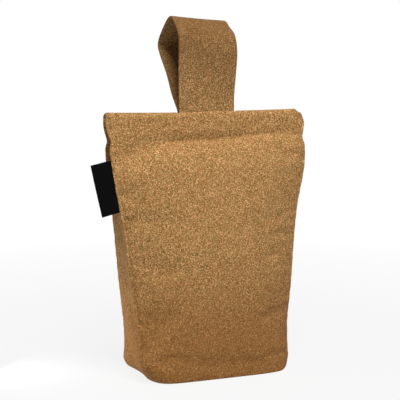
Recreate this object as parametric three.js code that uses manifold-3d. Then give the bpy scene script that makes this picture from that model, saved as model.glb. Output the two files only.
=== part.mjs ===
// Weighted fabric door stop: a filled cloth bag with a flat sewn top, a strap loop and a woven side tab.
// Millimetres, +Z up, front towards -Y. The origin is the middle of the flat underside.

import * as THREE from 'three';
import { mergeVertices } from 'three/addons/utils/BufferGeometryUtils.js';
import Module from 'manifold-3d';

const wasm = await Module();
wasm.setup();

// Filled bag, overall
const bodyHeight = 265;
const footWidth = 164;
const topWidth = 215;
const seamDepthFront = 25;
const seamDepthBack = 36;

// How far the filled panels stand out from the side seams
const bulgeAtFoot = 13;
const bulgeAtBelly = 19;
const bulgeAtShoulder = 12;
const bellyHeight = 105;
const shoulderHeight = 214;
const panelFlatness = 2.6;
const panelFlatnessAtFoot = 5;
const widthCurve = 1.5;
const depthCurve = 1.6;
const fullnessCurve = 0.8;
const seamSharpness = 12;

// Side panels: drawn in between their seams, and narrower at the back
const sideTuck = 4;
const backSeamInset = 5;
const shoulderSwellLeft = 2;
const shoulderSwellRight = 7;
const shoulderSwellReach = 36;
const sidePinch = 2.6;
const sidePinchReach = 6;
const waistDepth = 2.4;
const waistHeight = 48;
const waistReach = 34;
const footFlare = 2.5;
const footFlareReach = 14;

// Rounded lower edge, and the softer lower corners that lift off the floor
const lowerEdgeRadius = 13;
const cornerLiftLeft = 20;
const cornerLiftRight = 2;
const soleInsetLeft = 20;
const soleInsetRight = 4;
const soleInsetFront = 2;
const soleInsetBack = 8;
const soleRoundness = 6;
const cornerLiftCurve = 6;

// Flat sewn band along the top
const bandHeight = 26;
const bandThickness = 7;
const bandLipSwell = 0.9;
const bandLipHeight = 5;
const creaseDepth = 2.6;
const creaseHalfHeight = 3.4;
const creaseDropLeft = 13;
const creaseDropStart = 0.2;
const creaseFadeLeft = 0.45;
const rollUnderCrease = 2.2;
const rollHalfHeight = 8;
const topEdgeSag = 1.8;
const topEdgeRiseRight = 1.2;
const topCornerTaperRight = 6;
const topCornerTaperLeft = 1.5;
const topCornerTaperHeight = 13;

// Slack fold that runs from the left side seam up into the crease
const puckerFromSide = 20;
const puckerBelowTop = 47;
const puckerLength = 21;
const puckerHalfHeight = 5;
const puckerHeight = 1.6;
const puckerSlope = 0.55;

// Strap loop, folded cloth, both ends sewn into the band
const strapWidth = 60;
const strapThickness = 2.8;
const strapSeat = 20;
const strapEndGap = 0.6;
const strapCentreX = 0.2;
const strapRise = 96;
const strapCrestBack = 23;
const strapFrontBow = 5;
const strapTwist = 4;
const strapBackReach = 56;
const strapKinkHeight = 68;
const strapEdgeTilt = 4;
const strapCrestHalf = 4;
const strapCrestRound = 1.5;
const strapShoulderFront = 11.5;
const strapShoulderBack = 14;
const strapShoulderDrop = 7;
const strapKinkRound = 6;
const strapKinkAbove = 8;
const strapKinkBelow = 9;
const strapFootSplay = 2;
const strapFootSplayHeight = 3;
const strapFrontLean = 0.5;
const strapFrontLeanHeight = 13.5;
// The front leg between band and crest: [share of strapRise, share of the bow]
const strapFrontCurve = [[0.38, 0.6], [0.63, 1], [0.8, 0.3]];
// The back leg between kink and band: [share of strapKinkHeight, share of the reach]
const strapBackCurve = [[0.55, 0.55], [0.25, 0.3]];
const strapHousingWall = 1.8;
const strapHousingReach = 5;
const strapHousingEase = 3;

// Woven side tab, folded double and sewn into the left front seam
const tabHeight = 50;
const tabStandOut = 20;
const tabThickness = 1.2;
const tabSeat = 6;
const tabBelowTop = 70;
const tabBehindSeam = 1.7;

// Fitting
const clearance = 0.3;

// Mesh fineness
const panelSteps = 26;
const sideSteps = 6;
const lowerRows = 22;
const upperRows = 20;
const roundRows = 6;
const upperShare = 0.24;
const topRoundSteps = 3;
const topRoundOpenStep = 0.4;
const tabCurveSegments = 6;
const strapSteps = 60;
const strapAcross = 6;
const strapEdgeSteps = 4;

const cloth = new THREE.MeshStandardMaterial({ color: 0xa07545, roughness: 0.92, metalness: 0 });
const strapCloth = new THREE.MeshStandardMaterial({ color: 0x966b3f, roughness: 0.92, metalness: 0 });
const wovenBlack = new THREE.MeshStandardMaterial({ color: 0x0d0d0e, roughness: 0.6, metalness: 0 });

// A smooth curve through [position, value] stops, held level beyond its ends.
function curveThrough(stops) {
  const slopes = stops.map((stop, i) => {
    const before = stops[Math.max(i - 1, 0)];
    const after = stops[Math.min(i + 1, stops.length - 1)];
    return i === 0 || i === stops.length - 1 ? 0 : (after[1] - before[1]) / (after[0] - before[0]);
  });
  return (at) => {
    if (at <= stops[0][0]) return stops[0][1];
    const next = stops.findIndex((stop) => stop[0] > at);
    if (next < 0) return stops[stops.length - 1][1];
    const [from, low] = stops[next - 1];
    const [to, high] = stops[next];
    const span = to - from;
    const t = (at - from) / span;
    const rise = t * t * (3 - 2 * t);
    return low + (high - low) * rise
      + slopes[next - 1] * span * t * (1 - t) * (1 - t)
      - slopes[next] * span * t * t * (1 - t);
  };
}

function hump(distance, reach) {
  return Math.exp(-((distance / reach) ** 2));
}

// Rises from 0 to 1 around zero.
function easedStep(distance) {
  return 1 / (1 + Math.exp(-distance));
}

function solidOf(geometry) {
  const plain = geometry.clone();
  plain.deleteAttribute('normal');
  plain.deleteAttribute('uv');
  const merged = mergeVertices(plain, 1e-4);
  return new wasm.Manifold(new wasm.Mesh({
    numProp: 3,
    vertProperties: new Float32Array(merged.attributes.position.array),
    triVerts: new Uint32Array(merged.index.array),
  }));
}

function geometryOf(solid) {
  const mesh = solid.getMesh();
  const geometry = new THREE.BufferGeometry();
  geometry.setAttribute('position', new THREE.BufferAttribute(mesh.vertProperties, 3));
  geometry.setIndex(new THREE.BufferAttribute(mesh.triVerts, 1));
  geometry.computeVertexNormals();
  return geometry;
}

function meshGeometry(points, triangles) {
  const geometry = new THREE.BufferGeometry();
  const flat = points.flatMap((point) => [point.x, point.y, point.z]);
  geometry.setAttribute('position', new THREE.Float32BufferAttribute(flat, 3));
  geometry.setIndex(triangles);
  return geometry;
}

// Rings of equal length joined into a wall, seen from above the rings run anticlockwise.
function wallTriangles(rings, ringLength) {
  const triangles = [];
  for (let ring = 0; ring < rings - 1; ring += 1) {
    for (let j = 0; j < ringLength; j += 1) {
      const a = ring * ringLength + j;
      const b = ring * ringLength + ((j + 1) % ringLength);
      triangles.push(a, b, b + ringLength, a, b + ringLength, a + ringLength);
    }
  }
  return triangles;
}

const creaseHeight = bodyHeight - bandHeight;
const legOffset = (strapThickness + strapEndGap) / 2;
const strapHousingHalf = legOffset + strapThickness / 2 + clearance + strapHousingWall;

const bulgeAt = curveThrough([
  [0, bulgeAtFoot],
  [bellyHeight, bulgeAtBelly],
  [shoulderHeight, bulgeAtShoulder],
  [creaseHeight, bandThickness / 2],
  [bodyHeight, 0],
]);

// A bag full of grit stands wide at its foot, is drawn in above it and swells again at the shoulder.
function seamHalfWidth(z, side) {
  const share = Math.max(z, 0) / bodyHeight;
  const swell = side < 0 ? shoulderSwellLeft : shoulderSwellRight;
  const taper = side < 0 ? topCornerTaperLeft : topCornerTaperRight;
  const intoCorner = Math.max(z - bodyHeight + topCornerTaperHeight, 0) / topCornerTaperHeight;
  return footWidth / 2
    + (topWidth - footWidth) / 2 * share ** widthCurve
    + swell * hump(z - shoulderHeight, shoulderSwellReach)
    - sidePinch * hump(z - creaseHeight, sidePinchReach)
    - waistDepth * hump(z - waistHeight, waistReach)
    + footFlare * hump(z, footFlareReach)
    - taper * intoCorner ** 2;
}

// The seams lie this far in front of, or behind, the plane of the sewn top edge.
function seamDepth(z, footDepth) {
  const share = Math.min(Math.max(z / bodyHeight, 0), 1);
  return bandThickness / 2 + (footDepth - bandThickness / 2) * (1 - share ** depthCurve);
}

// The crease runs level from the right and sinks towards the left side seam.
function creaseAt(u) {
  const left = Math.max(-u - creaseDropStart, 0) / (1 - creaseDropStart);
  return creaseHeight - creaseDropLeft * left * left;
}

function bandRelief(u, x, z) {
  const fade = 1 - creaseFadeLeft * Math.max(-u, 0);
  const crease = creaseAt(u);
  const housingEdge = strapWidth / 2 + strapHousingReach;
  const housing = easedStep((housingEdge - Math.abs(x - strapCentreX)) / strapHousingEase)
    * easedStep((z - bodyHeight + strapSeat) / strapHousingEase);
  return rollUnderCrease * fade * hump(z - crease + rollHalfHeight + creaseHalfHeight, rollHalfHeight)
    - creaseDepth * fade * hump(z - crease, creaseHalfHeight)
    + bandLipSwell * hump(z - bodyHeight + bandLipHeight, bandLipHeight)
    + (strapHousingHalf - bandThickness / 2) * housing;
}

function puckerRelief(x, z) {
  const dx = x + topWidth / 2 - puckerFromSide;
  const dz = z - (bodyHeight - puckerBelowTop) - puckerSlope * dx;
  const fold = hump(dz, puckerHalfHeight);
  const hollow = hump(dz - 2 * puckerHalfHeight, puckerHalfHeight);
  return puckerHeight * hump(dx, puckerLength) * (fold - hollow);
}

function topEdgeHeight(u) {
  return bodyHeight - topEdgeSag * (1 - u * u) + topEdgeRiseRight * Math.max(u, 0) ** 2;
}

// The columns of the bag's surface: front panel, right side, back panel, left side.
function bagColumns() {
  const columns = [];
  for (let i = 0; i <= panelSteps; i += 1) columns.push({ face: 'front', u: -1 + 2 * i / panelSteps });
  for (let i = 1; i < sideSteps; i += 1) columns.push({ face: 'side', side: 1, v: -1 + 2 * i / sideSteps });
  for (let i = 0; i <= panelSteps; i += 1) columns.push({ face: 'back', u: 1 - 2 * i / panelSteps });
  for (let i = 1; i < sideSteps; i += 1) columns.push({ face: 'side', side: -1, v: 1 - 2 * i / sideSteps });
  return columns;
}

function wallPoint(column, z) {
  const side = column.face === 'side' ? column.side : Math.sign(column.u) || 1;
  const half = seamHalfWidth(z, side);
  const frontDepth = seamDepth(z, seamDepthFront);
  const backDepth = seamDepth(z, seamDepthBack);
  const fullness = Math.max(1 - z / bodyHeight, 0) ** fullnessCurve;
  if (column.face === 'side') {
    const drawn = sideTuck * (1 - column.v ** 2) + backSeamInset * (1 + column.v) / 2;
    const y = (column.v * (backDepth + frontDepth) + backDepth - frontDepth) / 2;
    return new THREE.Vector3(side * (half - drawn * fullness), y, z);
  }
  const { u } = column;
  const front = column.face === 'front';
  const x = u * (half - (front ? 0 : backSeamInset * fullness * Math.abs(u)));
  const flatness = panelFlatness + (panelFlatnessAtFoot - panelFlatness) * hump(z, bellyHeight);
  const across = 1 - Math.abs(u) ** flatness;
  const edgeless = 1 - Math.abs(u) ** seamSharpness;
  const stand = bulgeAt(z) * across
    + edgeless * (bandRelief(front ? u : Math.abs(u), x, z) + (front ? puckerRelief(x, z) : 0));
  return new THREE.Vector3(x, front ? -frontDepth - stand : backDepth + stand, z);
}

function columnCorner(column) {
  if (column.face === 'back') return 0;
  const onSide = column.face === 'side';
  const side = onSide ? column.side : Math.sign(column.u);
  const lift = side < 0 ? cornerLiftLeft : cornerLiftRight;
  return lift * (onSide ? (1 - column.v) / 2 : Math.abs(column.u) ** cornerLiftCurve);
}

// The flat sole is a rounded rectangle inside the foot, met by a quarter ellipse from every wall column.
function solePoint(wall) {
  const halfX = footWidth / 2 - (wall.x < 0 ? soleInsetLeft : soleInsetRight);
  const seamY = wall.y < 0 ? seamDepthFront - soleInsetFront : seamDepthBack - soleInsetBack;
  const shareX = Math.abs(wall.x / halfX) ** soleRoundness;
  const shareY = Math.abs(wall.y / (seamY + bulgeAtFoot)) ** soleRoundness;
  const reach = (shareX + shareY) ** (1 / soleRoundness);
  return new THREE.Vector3(wall.x / reach, wall.y / reach, 0);
}

function bagColumnPoints(column) {
  const points = [];
  const radius = lowerEdgeRadius + columnCorner(column);
  const wallFoot = wallPoint(column, radius);
  const sole = solePoint(wallFoot);
  for (let i = 0; i < roundRows; i += 1) {
    const angle = Math.PI / 2 * (1 - i / roundRows);
    const point = sole.clone().lerp(wallFoot, Math.cos(angle));
    point.z = radius * (1 - Math.sin(angle));
    points.push(point);
  }
  const edge = topEdgeHeight(column.face === 'side' ? column.side : column.u);
  const wallTop = wallPoint(column, edge);
  const topRound = bandThickness / 2;
  const rows = lowerRows + upperRows;
  for (let i = 0; i <= rows; i += 1) {
    const share = i < lowerRows
      ? (1 - upperShare) * i / lowerRows
      : 1 - upperShare + upperShare * (i - lowerRows) / upperRows;
    points.push(wallPoint(column, radius + (edge - topRound - radius) * share));
  }
  const nearCorner = Math.min(Math.abs(wallTop.x / topWidth * 2), 1) ** seamSharpness;
  for (let i = 1; i <= topRoundSteps; i += 1) {
    const angle = Math.PI / 2 * i / (topRoundSteps + topRoundOpenStep);
    const inwards = 1 - Math.cos(angle);
    points.push(new THREE.Vector3(
      wallTop.x - Math.sign(wallTop.x) * topRound * inwards * nearCorner,
      wallTop.y * (1 - inwards),
      edge - topRound * (1 - Math.sin(angle)),
    ));
  }
  return points;
}

function bagBlank() {
  const columns = bagColumns();
  const byColumn = columns.map(bagColumnPoints);
  const rows = byColumn[0].length;
  const points = [];
  for (let row = 0; row < rows; row += 1) byColumn.forEach((column) => points.push(column[row]));
  const count = columns.length;
  const triangles = wallTriangles(rows, count);
  const centre = points.push(new THREE.Vector3(0, 0, 0)) - 1;
  for (let j = 0; j < count; j += 1) triangles.push(centre, (j + 1) % count, j);
  const top = (rows - 1) * count;
  const backLast = panelSteps + sideSteps + panelSteps;
  for (let i = 0; i < panelSteps; i += 1) {
    const front = top + i;
    const back = top + backLast - i;
    triangles.push(front, front + 1, back - 1, front, back - 1, back);
  }
  for (const [first, last] of [[panelSteps, panelSteps + sideSteps], [backLast, count]]) {
    for (let j = first + 1; j < last; j += 1) {
      triangles.push(top + first, top + (j % count), top + ((j + 1) % count));
    }
  }
  return meshGeometry(points, triangles);
}

function strapSlot() {
  const thickness = 2 * (legOffset + strapThickness / 2 + clearance);
  const depth = strapSeat + clearance;
  const slot = new THREE.BoxGeometry(strapWidth + 2 * clearance, thickness, 2 * depth);
  slot.translate(strapCentreX, 0, bodyHeight);
  return slot;
}

function tabFrame() {
  const low = bodyHeight - tabBelowTop - tabHeight / 2;
  const high = bodyHeight - tabBelowTop + tabHeight / 2;
  const seamAt = (z) => new THREE.Vector3(
    -seamHalfWidth(z, -1),
    tabBehindSeam - seamDepth(z, seamDepthFront),
    z,
  );
  const foot = seamAt(low);
  const head = seamAt(high);
  const along = head.clone().sub(foot).normalize();
  const outwards = new THREE.Vector3(-1, 0, 0).addScaledVector(along, along.x).normalize();
  const through = new THREE.Vector3().crossVectors(along, outwards);
  const frame = new THREE.Matrix4().makeBasis(outwards, through, along);
  return frame.setPosition(foot.add(head).multiplyScalar(0.5));
}

function tabSlot() {
  const slot = new THREE.BoxGeometry(
    2 * (tabSeat + clearance),
    tabThickness + 2 * clearance,
    tabHeight + 2 * clearance,
  );
  return slot.applyMatrix4(tabFrame());
}

function filledBag() {
  const bag = solidOf(bagBlank()).subtract(solidOf(strapSlot())).subtract(solidOf(tabSlot()));
  return new THREE.Mesh(geometryOf(bag), cloth);
}

// The strap's middle line in side view, twisted a little between its left and right edges.
function strapLine(share) {
  const bow = strapFrontBow + strapTwist * share;
  const kink = strapBackReach - strapTwist * share;
  const crest = bodyHeight + strapRise - strapEdgeTilt * (1 + share) / 2;
  const leg = legOffset;
  const stops = [
    [-leg, bodyHeight - strapSeat],
    [-leg, bodyHeight - strapSeat / 2],
    [-leg, bodyHeight],
    [strapFrontLean - leg, bodyHeight + strapFrontLeanHeight],
    ...strapFrontCurve.map(([rise, out]) => [-bow * out, bodyHeight + strapRise * rise]),
    [strapCrestBack - strapShoulderFront, crest - strapShoulderDrop],
    [strapCrestBack - strapCrestHalf, crest - strapCrestRound],
    [strapCrestBack + strapCrestHalf, crest - strapCrestRound],
    [strapCrestBack + strapShoulderBack, crest - strapShoulderDrop],
    [kink - strapKinkRound, bodyHeight + strapKinkHeight + strapKinkAbove],
    [kink, bodyHeight + strapKinkHeight],
    [kink - strapKinkRound, bodyHeight + strapKinkHeight - strapKinkBelow],
    ...strapBackCurve.map(([rise, out]) => [kink * out, bodyHeight + strapKinkHeight * rise]),
    [leg + strapFootSplay, bodyHeight + strapFootSplayHeight],
    [leg, bodyHeight],
    [leg, bodyHeight - strapSeat / 2],
    [leg, bodyHeight - strapSeat],
  ];
  return new THREE.CatmullRomCurve3(stops.map(([y, z]) => new THREE.Vector3(0, y, z)), false, 'centripetal');
}

// One cross-section of the strap: a flat bar with round folded edges, as [across, out] pairs.
function strapSection() {
  const half = strapThickness / 2;
  const flat = strapWidth / 2 - half;
  const outline = [];
  for (const side of [1, -1]) {
    for (let i = 0; i < strapAcross; i += 1) {
      outline.push([side * (-flat + 2 * flat * i / strapAcross), side * half]);
    }
    for (let i = 0; i < strapEdgeSteps; i += 1) {
      const angle = Math.PI * i / strapEdgeSteps;
      outline.push([side * (flat + half * Math.sin(angle)), side * half * Math.cos(angle)]);
    }
  }
  return outline;
}

function strapHandle() {
  const section = strapSection();
  const left = strapLine(-1).getSpacedPoints(strapSteps);
  const right = strapLine(1).getSpacedPoints(strapSteps);
  const points = [];
  for (let i = 0; i <= strapSteps; i += 1) {
    const before = Math.max(i - 1, 0);
    const after = Math.min(i + 1, strapSteps);
    for (const [across, out] of section) {
      const share = (across + strapWidth / 2) / strapWidth;
      const place = left[i].clone().lerp(right[i], share);
      const run = left[after].clone().lerp(right[after], share)
        .sub(left[before].clone().lerp(right[before], share))
        .normalize();
      points.push(new THREE.Vector3(strapCentreX + across, place.y - run.z * out, place.z + run.y * out));
    }
  }
  const count = section.length;
  const triangles = wallTriangles(strapSteps + 1, count);
  const last = strapSteps * count;
  for (let j = 1; j < count - 1; j += 1) {
    triangles.push(0, j + 1, j, last, last + j, last + j + 1);
  }
  return new THREE.Mesh(geometryOf(solidOf(meshGeometry(points, triangles))), strapCloth);
}

function sideTab() {
  const half = tabThickness / 2;
  const outline = new THREE.Shape();
  outline.moveTo(-tabSeat, -half);
  outline.lineTo(tabStandOut - half, -half);
  outline.absarc(tabStandOut - half, 0, half, -Math.PI / 2, Math.PI / 2, false);
  outline.lineTo(-tabSeat, half);
  outline.closePath();
  const tab = new THREE.ExtrudeGeometry(outline, {
    depth: tabHeight,
    bevelEnabled: false,
    curveSegments: tabCurveSegments,
  });
  tab.translate(0, 0, -tabHeight / 2);
  const mesh = new THREE.Mesh(geometryOf(solidOf(tab)), wovenBlack);
  mesh.applyMatrix4(tabFrame());
  return mesh;
}

const group = new THREE.Group();
for (const [name, piece] of [
  ['filled_bag', filledBag()],
  ['strap_handle', strapHandle()],
  ['side_tab', sideTab()],
]) {
  piece.name = name;
  group.add(piece);
}

export default group;
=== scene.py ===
import logging
import math
from dataclasses import dataclass, field
from enum import Enum
from typing import TypeVar

import bpy
import numpy as np
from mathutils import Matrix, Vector, noise


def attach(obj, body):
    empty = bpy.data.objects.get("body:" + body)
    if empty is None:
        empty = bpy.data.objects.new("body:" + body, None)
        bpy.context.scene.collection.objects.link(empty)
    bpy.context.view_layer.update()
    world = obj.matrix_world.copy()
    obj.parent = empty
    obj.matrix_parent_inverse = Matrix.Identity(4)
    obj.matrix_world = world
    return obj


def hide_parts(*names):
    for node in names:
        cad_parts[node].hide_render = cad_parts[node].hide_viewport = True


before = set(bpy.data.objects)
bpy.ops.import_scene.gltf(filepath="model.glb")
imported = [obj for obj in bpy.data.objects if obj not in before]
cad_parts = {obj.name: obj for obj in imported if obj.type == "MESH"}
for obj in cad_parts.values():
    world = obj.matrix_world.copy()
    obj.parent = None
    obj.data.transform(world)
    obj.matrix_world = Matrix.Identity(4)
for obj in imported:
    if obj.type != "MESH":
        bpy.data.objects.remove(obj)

LOG = logging.getLogger("door_stop")
MM = 0.001
ROOT = "root"
WELD = 1e-6
WEAVE_MAP = "weave"
MAP_SCALE = 1.0
INNER_SHIFT = 4.0
THREAD_ROUND = 0.7
THREAD_DIP = 0.55
THREAD_LOW = 0.45
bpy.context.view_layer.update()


class BagFace(Enum):
    """The four faces that go round the filled bag, seen from above."""

    FRONT = "front"
    RIGHT = "right"
    BACK = "back"
    LEFT = "left"


Height = TypeVar("Height", float, np.ndarray)


def select_only(piece: bpy.types.Object) -> None:
    """Select one object and make it the active one.

    Args:
        piece: The object to work on.
    """
    bpy.ops.object.select_all(action="DESELECT")
    piece.select_set(True)
    bpy.context.view_layer.objects.active = piece


def apply_modifier(piece: bpy.types.Object, kind: str, **settings: object) -> None:
    """Add one modifier to a piece, set it and apply it.

    Args:
        piece: The mesh object.
        kind: Blender's name for the modifier type.
        **settings: Attribute values of the modifier.
    """
    select_only(piece)
    modifier = piece.modifiers.new(kind.lower(), kind)
    for key, value in settings.items():
        setattr(modifier, key, value)
    bpy.ops.object.modifier_apply(modifier=modifier.name)


def points_of(piece: bpy.types.Object) -> np.ndarray:
    """Read a mesh's points.

    Args:
        piece: The mesh object.

    Returns:
        An array of shape (points, 3), in metres.
    """
    flat = np.zeros(len(piece.data.vertices) * 3)
    piece.data.vertices.foreach_get("co", flat)
    return flat.reshape(-1, 3)


def set_points(piece: bpy.types.Object, points: np.ndarray) -> None:
    """Write a mesh's points.

    Args:
        piece: The mesh object.
        points: An array of shape (points, 3), in metres.
    """
    piece.data.vertices.foreach_set("co", np.asarray(points, float).ravel())
    piece.data.update()


def grid_panel(across: int, along: int, points: list) -> bpy.types.Object:
    """Add a grid of quads and move its points to their places.

    Args:
        across: Number of quads across.
        along: Number of quads along.
        points: The places, row by row.

    Returns:
        The new panel.
    """
    bpy.ops.object.select_all(action="DESELECT")
    bpy.ops.mesh.primitive_grid_add(x_subdivisions=across, y_subdivisions=along, size=1)
    panel = bpy.context.object
    set_points(panel, np.array([tuple(point) for point in points]))
    return panel


def sewn(panels: list, name: str) -> bpy.types.Object:
    """Join panels into one piece and weld the edges that meet.

    Args:
        panels: The panels, whose rims match.
        name: The joined piece's name.

    Returns:
        The joined piece, with its faces pointing out.
    """
    bpy.ops.object.select_all(action="DESELECT")
    for panel in panels:
        panel.select_set(True)
    piece = panels[0]
    bpy.context.view_layer.objects.active = piece
    bpy.ops.object.join()
    piece.name = name
    piece.data.name = name
    bpy.ops.object.mode_set(mode="EDIT")
    bpy.ops.mesh.select_all(action="SELECT")
    bpy.ops.mesh.remove_doubles(threshold=WELD)
    bpy.ops.mesh.normals_make_consistent(inside=False)
    bpy.ops.object.mode_set(mode="OBJECT")
    return piece


def normals_of(piece: bpy.types.Object) -> np.ndarray:
    """Read a mesh's vertex normals.

    Args:
        piece: The mesh object.

    Returns:
        An array of shape (points, 3).
    """
    flat = np.zeros(len(piece.data.vertices) * 3)
    piece.data.vertex_normals.foreach_get("vector", flat)
    return flat.reshape(-1, 3)


def lay_weave(piece: bpy.types.Object) -> None:
    """Map the cloth at real size, straight onto each side of the piece.

    Args:
        piece: The mesh object, which gets a map in metres.
    """
    layer = piece.data.uv_layers.new(name=WEAVE_MAP)
    piece.data.uv_layers.active = layer
    select_only(piece)
    bpy.ops.object.mode_set(mode="EDIT")
    bpy.ops.mesh.select_all(action="SELECT")
    bpy.ops.uv.cube_project(cube_size=MAP_SCALE, correct_aspect=False, scale_to_bounds=False)
    bpy.ops.object.mode_set(mode="OBJECT")


def hump(distance: np.ndarray, reach: float) -> np.ndarray:
    """A smooth bump that is 1 at zero distance.

    Args:
        distance: How far each point is from the bump's crest.
        reach: The distance at which the bump has fallen to about a third.

    Returns:
        The bump's height, from 0 to 1.
    """
    return np.exp(-((distance / reach) ** 2))


def eased_step(distance: np.ndarray) -> np.ndarray:
    """Rise from 0 to 1 around zero.

    Args:
        distance: Signed distance, in units of the step's softness.

    Returns:
        The step, from 0 to 1.
    """
    return 1.0 / (1.0 + np.exp(-np.clip(distance, -40, 40)))


def cloth_noise(points: np.ndarray, cell: float, seed: float) -> np.ndarray:
    """Smooth noise in space, the same on every run.

    Args:
        points: Array of shape (points, 3), in metres.
        cell: The size of one swell of the noise, in metres.
        seed: An offset that picks another part of the noise.

    Returns:
        One value for each point, about -1 to 1.
    """
    shift = Vector((seed, 2.3 * seed, -1.7 * seed))
    return np.array([noise.noise(Vector(p) / cell + shift) for p in points])


@dataclass(frozen=True)
class Heathered:
    """The finish of the woven upholstery cloth.

    Attributes:
        name: The material's name.
        ground: Linear colour of most threads.
        bright: Linear colour of the lighter threads.
        cream: Linear colour of the palest flecks.
        dark: Linear colour of the darkest flecks and of the gaps between threads.
        warm: Linear colour of the reddish flecks.
        cool: Linear colour of the greenish grey flecks.
        painted_shade_colour: Linear colour of the painted shade that darkens the cloth towards one end.
        painted_shade: How much painted shade that end has, from 0 to 1.
        painted_shade_from: Height where the painted shade starts, in metres.
        painted_shade_full: Height where the painted shade is full, in metres.
        inner_shade_colour: Linear colour of the painted shade on the inner face of a loop.
        inner: How much of that painted shade the inner face has, from 0 to 1.
        thread: Distance between threads, in metres.
        wander: How far threads stray from straight lines, in threads.
        slub: Threads' length of one colour, in threads.
        fibre: Size of the loose fibres' specks, in metres.
        fibre_share: Share of the fibres in the flecks, from 0 to 1.
        mottle: Size of the soft patches, in metres.
        relief: Height of the weave's bump, in metres.
    """

    name: str
    ground: tuple[float, float, float]
    bright: tuple[float, float, float]
    cream: tuple[float, float, float]
    dark: tuple[float, float, float]
    warm: tuple[float, float, float]
    cool: tuple[float, float, float]
    painted_shade_colour: tuple[float, float, float] = (0.282, 0.092, 0.010)
    painted_shade: float = 0.45
    painted_shade_from: float = 140 * MM
    painted_shade_full: float = 25 * MM
    inner_shade_colour: tuple[float, float, float] = (0.100, 0.030, 0.005)
    inner: float = 0.0
    thread: float = 0.9 * MM
    wander: float = 0.5
    slub: float = 1.5
    fibre: float = 1.15 * MM
    fibre_share: float = 0.5
    mottle: float = 9 * MM
    relief: float = 0.28 * MM

    def build(self) -> bpy.types.Material:
        """Make the node material, or hand back the one made before.

        Returns:
            The material.
        """
        made = bpy.data.materials.get(self.name)
        if made is not None:
            return made
        board = NodeBoard(self.name)
        place = board.add("ShaderNodeTexCoord").outputs["Object"]
        across, along = board.weave_cells(self.thread, self.wander)
        over = board.checker(across, along)
        height = board.mixed_value(
            over, board.thread_profile(across, along), board.thread_profile(along, across)
        )
        warp = board.cell_random(across, board.value("DIVIDE", along, self.slub), 3.1)
        weft = board.cell_random(along, board.value("DIVIDE", across, self.slub), 7.7)
        tone = board.mixed_value(over, warp.outputs["Value"], weft.outputs["Value"])
        fibre = board.ramp_value(board.noise(place, 1 / self.fibre, 1.0, 0.6), 0.34, 0.66, 1.0)
        tone = board.mixed_value(self.fibre_share, fibre, tone)
        tone = board.ramp_value(tone, 0.24, 0.76, 1.0)
        hue = board.mixed_value(over, warp.outputs["Color"], weft.outputs["Color"])
        fleck = board.ramp(
            tone,
            [
                (0.0, self.dark),
                (0.28, self.ground),
                (0.54, self.ground),
                (0.78, self.bright),
                (1.0, self.cream),
            ],
        )
        fleck = board.mixed_colour(board.ramp_value(hue, 0.55, 0.9, 0.75), fleck, self.warm)
        fleck = board.mixed_colour(board.ramp_value(hue, 0.45, 0.1, 0.75), fleck, self.cool)
        patch = board.noise(place, 1 / self.mottle, 3.0, 0.6)
        fleck = board.mixed_colour(board.ramp_value(patch, 0.35, 0.75, 0.20), fleck, self.cool)
        # Painted shade: the cloth darkens towards one end, the bag's foot or the strap's top.
        high = board.add("ShaderNodeSeparateXYZ")
        board.link(place, high.inputs[0])
        painted_shade_ramp = board.add("ShaderNodeMapRange")
        painted_shade_ramp.interpolation_type = "SMOOTHSTEP"
        board.link(high.outputs["Z"], painted_shade_ramp.inputs[0])
        painted_shade_ramp.inputs[1].default_value = self.painted_shade_from
        painted_shade_ramp.inputs[2].default_value = self.painted_shade_full
        painted_shade_ramp.inputs[3].default_value = 0.0
        painted_shade_ramp.inputs[4].default_value = 1.0
        inside = board.inner_face()
        outside = board.value("MULTIPLY", board.value("SUBTRACT", 1.0, inside), painted_shade_ramp.outputs[0])
        share = board.value("MULTIPLY", outside, self.painted_shade)
        fleck = board.mixed_colour(share, fleck, self.painted_shade_colour)
        # Painted shade on the inner faces of a loop, away from that end.
        below = board.value("MULTIPLY", board.value("SUBTRACT", 1.0, painted_shade_ramp.outputs[0]), inside)
        share = board.value("MULTIPLY", below, self.inner)
        fleck = board.mixed_colour(share, fleck, self.inner_shade_colour)
        gap = board.value("MULTIPLY", board.value("SUBTRACT", 1.0, height), 0.34)
        shaded = board.mixed_colour(gap, fleck, self.dark)
        fuzz = board.noise(place, 1 / self.thread, 2.0, 0.6)
        relief = board.value("ADD", height, board.value("MULTIPLY", fuzz, 0.6))
        board.set_bump(relief, 0.5, self.relief)
        board.link(shaded, board.shader.inputs["Base Color"])
        board.shader.inputs["Roughness"].default_value = 0.95
        board.shader.inputs["Specular IOR Level"].default_value = 0.18
        board.shader.inputs["Sheen Weight"].default_value = 0.06
        board.shader.inputs["Sheen Roughness"].default_value = 0.5
        board.shader.inputs["Sheen Tint"].default_value = (0.8, 0.6, 0.4, 1.0)
        return board.material


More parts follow.
